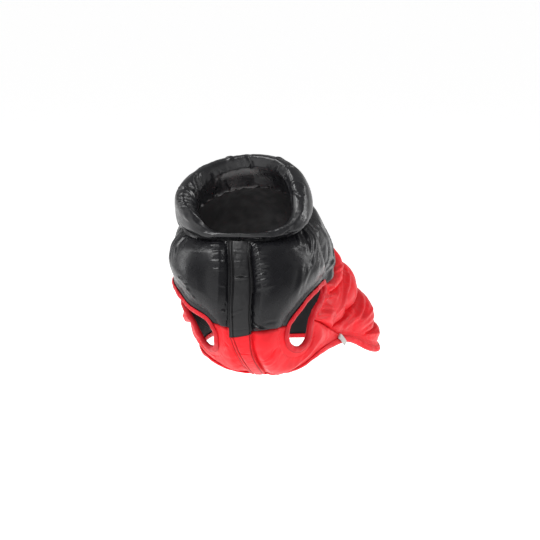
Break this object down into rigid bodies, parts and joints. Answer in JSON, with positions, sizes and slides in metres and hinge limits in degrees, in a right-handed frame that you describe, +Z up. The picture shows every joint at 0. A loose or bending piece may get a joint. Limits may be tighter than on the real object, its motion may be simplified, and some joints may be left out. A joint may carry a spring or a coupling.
{
  "type": "padded dog jacket",
  "caption": "Sleeveless padded dog jacket, held as worn: puffed stand collar, dark yoke and chest with a front strip, quilted back in a second colour, bound armholes and hem.",
  "frame": {"origin": "centre of the neck ring, where the collar is sewn on", "axes": "+Z up, the chest faces -Y, the wearer's left side is +X"},
  "size_m": [0.2209, 0.3056, 0.2436],
  "materials": {
    "black_shell": "glossy woven nylon, padded",
    "red_shell": "satin woven nylon, padded and quilted",
    "red_tape": "matt elastic binding tape",
    "grey_tape": "matt woven tape, blank"
  },
  "bodies": {
    "root": {"collar": "black_shell", "yoke_back": "black_shell", "body_back": "red_shell", "front_left": "black_shell", "belly_left": "red_shell", "armhole_binding_left": "red_tape", "front_right": "black_shell", "belly_right": "red_shell", "armhole_binding_right": "red_tape", "placket": "black_shell", "placket_tail": "red_shell", "hem_binding": "red_tape", "label_tab": "grey_tape"}
  },
  "joints": []
}
